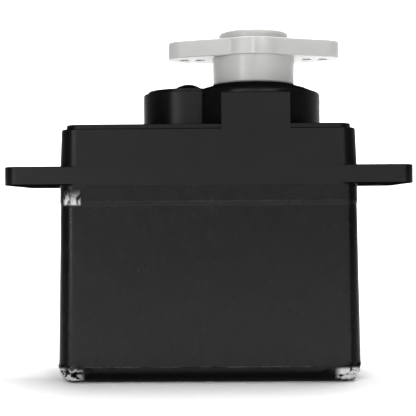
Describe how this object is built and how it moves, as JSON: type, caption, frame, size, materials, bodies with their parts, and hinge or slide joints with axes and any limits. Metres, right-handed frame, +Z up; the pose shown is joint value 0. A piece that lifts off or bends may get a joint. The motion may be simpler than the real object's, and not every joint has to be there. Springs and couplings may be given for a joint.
{
  "type": "servo motor",
  "caption": "Sub-micro servo motor with a black case, side mounting tabs, a shrink-film sleeve and a white double-arm horn on a geared output shaft.",
  "frame": {"origin": "centre of the bounding box's bottom face, on the surface that the case stands on", "axes": "+X along the case from the motor end to the output end, +Y across the case away from the front face, +Z up along the output shaft"},
  "size_m": [0.0316, 0.012, 0.0273],
  "materials": {
    "case_plastic": "black moulded plastic, finely textured, satin",
    "film": "black heat-shrink film, glossy, crinkled at the corners",
    "outlet_rubber": "black rubber, matt",
    "screw_steel": "zinc-plated steel",
    "bush_brass": "turned brass",
    "pinion_brass": "hobbed brass",
    "shaft_steel": "ground steel",
    "horn_nylon": "white nylon, slightly translucent, satin",
    "gear_nylon": "natural nylon, satin",
    "motor_steel": "drawn steel, satin",
    "end_bell_nylon": "natural nylon, satin",
    "core_steel": "stacked laminations",
    "magnet_ferrite": "sintered ferrite, matt",
    "winding_copper": "enamelled copper wire",
    "contact_copper": "copper, bright",
    "pot_phenolic": "brown phenolic",
    "pot_carbon": "carbon film",
    "board_laminate": "green solder mask",
    "chip_epoxy": "moulded epoxy",
    "capacitor_body": "tan epoxy",
    "lead_black": "black insulation",
    "lead_red": "red insulation"
  },
  "bodies": {
    "case": {"upper_case": "case_plastic", "middle_case": "case_plastic", "bottom_cover": "case_plastic", "shrink_film": "film", "cable_outlet": "outlet_rubber", "case_screw_1": "screw_steel", "case_screw_2": "screw_steel", "case_screw_3": "screw_steel", "case_screw_4": "screw_steel", "output_bush": "bush_brass", "idler_pin": "shaft_steel", "motor_can": "motor_steel", "motor_end_bell": "end_bell_nylon", "motor_bush_top": "bush_brass", "motor_bush_bottom": "bush_brass", "motor_magnet_1": "magnet_ferrite", "motor_magnet_2": "magnet_ferrite", "motor_brush_1": "contact_copper", "motor_brush_2": "contact_copper", "motor_terminal_1": "bush_brass", "motor_terminal_2": "bush_brass", "pot_housing": "pot_phenolic", "pot_cover": "motor_steel", "pot_track": "pot_carbon", "pot_terminal_1": "bush_brass", "pot_terminal_2": "bush_brass", "pot_terminal_3": "bush_brass", "circuit_board": "board_laminate", "control_chip": "chip_epoxy", "driver_chip_1": "chip_epoxy", "driver_chip_2": "chip_epoxy", "smoothing_capacitor": "capacitor_body", "resistor_1": "chip_epoxy", "resistor_2": "chip_epoxy", "resistor_3": "chip_epoxy", "motor_lead_1": "lead_black", "motor_lead_2": "lead_red"},
    "rotor": {"motor_shaft": "shaft_steel", "motor_pinion": "pinion_brass", "armature_core": "core_steel", "armature_coil_1": "winding_copper", "armature_coil_2": "winding_copper", "armature_coil_3": "winding_copper", "commutator": "contact_copper"},
    "first_gear": {"gear_1": "gear_nylon"},
    "second_gear": {"gear_2": "gear_nylon"},
    "third_gear": {"gear_3": "gear_nylon"},
    "output": {"output_gear": "gear_nylon", "output_spindle": "shaft_steel", "servo_horn": "horn_nylon", "horn_screw": "screw_steel", "pot_rotor": "gear_nylon", "pot_wiper": "bush_brass"}
  },
  "joints": [
    {"name": "motor_spin", "type": "hinge", "parent": "case", "child": "rotor", "pos_m": [-0.00565, 0, 0.008], "axis": [0, 0, 1], "range_deg": [-10158, 10158]},
    {"name": "gear_1_spin", "type": "hinge", "parent": "case", "child": "first_gear", "pos_m": [-0.00165, 0, 0.0155], "axis": [0, 0, 1], "range_deg": [-2949.11, 2949.11]},
    {"name": "gear_2_spin", "type": "hinge", "parent": "case", "child": "second_gear", "pos_m": [0.00364, 0, 0.0165], "axis": [0, 0, 1], "range_deg": [-921.6, 921.6]},
    {"name": "gear_3_spin", "type": "hinge", "parent": "case", "child": "third_gear", "pos_m": [-0.00165, 0, 0.0185], "axis": [0, 0, 1], "range_deg": [-288.01, 288.01]},
    {"name": "output_turn", "type": "hinge", "parent": "case", "child": "output", "pos_m": [0.00364, 0, 0.0225], "axis": [0, 0, 1], "range_deg": [-90, 90]}
  ],
  "couplings": [
    {"joint": "gear_1_spin", "follows": "motor_spin", "ratio": -0.29032},
    {"joint": "gear_2_spin", "follows": "motor_spin", "ratio": 0.090726},
    {"joint": "gear_3_spin", "follows": "motor_spin", "ratio": -0.028352},
    {"joint": "output_turn", "follows": "motor_spin", "ratio": 0.0088599}
  ]
}
